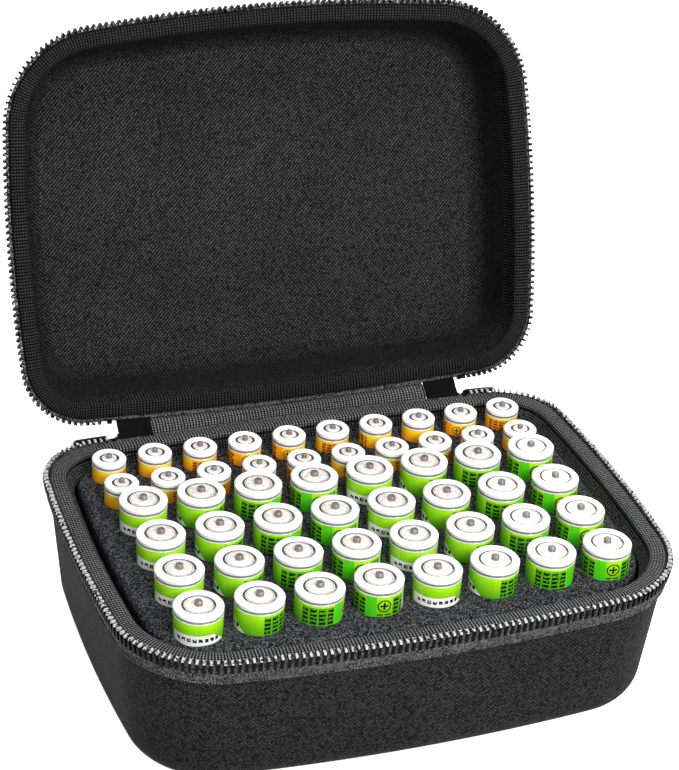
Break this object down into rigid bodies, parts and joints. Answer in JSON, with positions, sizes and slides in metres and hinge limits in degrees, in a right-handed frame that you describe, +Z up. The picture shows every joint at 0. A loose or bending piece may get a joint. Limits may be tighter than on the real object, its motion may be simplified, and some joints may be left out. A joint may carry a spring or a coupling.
{
  "type": "battery storage case",
  "caption": "Black moulded hard case with a zip round both rims, its lid open, holding rows of large green and small orange round cells in a grey foam insert",
  "frame": {"origin": "centre of the case's flat foot, on the surface it stands on", "axes": "+Z up, +Y from the front of the case to its hinge, +X to the right seen from the front"},
  "size_m": [0.1764, 0.1871, 0.1728],
  "materials": {
    "shell_fabric": "black fine-woven cloth bonded to a moulded foam shell",
    "lining_fabric": "black twill lining with a slight sheen",
    "binding_ribbon": "black ribbed ribbon",
    "zip_tape": "black woven zip tape",
    "zip_metal": "dull grey metal",
    "foam": "dark grey grainy foam",
    "hinge_ribbon": "black ribbed ribbon",
    "slider_metal": "black enamelled metal",
    "cell_metal": "bright nickel-plated steel",
    "green_label": "glossy shrunk film, yellow-green to green",
    "orange_label": "glossy shrunk film, yellow to orange",
    "cell_ring": "white insulating ring"
  },
  "bodies": {
    "base": {"base_shell": "shell_fabric", "base_lining": "lining_fabric", "base_binding": "binding_ribbon", "base_zip_tape": "zip_tape", "base_zip_teeth": "zip_metal", "base_zip_stops": "zip_metal", "foam_insert": "foam", "hinge_gusset": "hinge_ribbon", "slider_left": "slider_metal", "slider_right": "slider_metal", "aa_cells_1": "cell_metal", "aa_cells_2": "cell_metal", "aa_cells_3": "cell_metal", "aa_cells_4": "cell_metal", "aa_labels_1": "green_label", "aa_labels_2": "green_label", "aa_labels_3": "green_label", "aa_labels_4": "green_label", "aa_rings_1": "cell_ring", "aa_rings_2": "cell_ring", "aa_rings_3": "cell_ring", "aa_rings_4": "cell_ring", "aaa_cells_1": "cell_metal", "aaa_cells_2": "cell_metal", "aaa_labels_1": "orange_label", "aaa_labels_2": "orange_label", "aaa_rings_1": "cell_ring", "aaa_rings_2": "cell_ring"},
    "lid": {"lid_shell": "shell_fabric", "lid_lining": "lining_fabric", "lid_binding": "binding_ribbon", "lid_zip_tape": "zip_tape", "lid_zip_teeth": "zip_metal", "lid_zip_stops": "zip_metal"},
    "pull_left": {"pull_left": "slider_metal"},
    "pull_right": {"pull_right": "slider_metal"}
  },
  "joints": [
    {"name": "lid_hinge", "type": "hinge", "parent": "base", "child": "lid", "pos_m": [0, 0.066, 0.048], "axis": [1, 0, 0], "range_deg": [-73, 107]},
    {"name": "pull_left_swing", "type": "hinge", "parent": "base", "child": "pull_left", "pos_m": [-0.05712, 0.06581, 0.0447], "axis": [0, 0, -1], "range_deg": [-6, 12]},
    {"name": "pull_right_swing", "type": "hinge", "parent": "base", "child": "pull_right", "pos_m": [0.05712, 0.06581, 0.0447], "axis": [0, 0, 1], "range_deg": [-6, 12]}
  ]
}
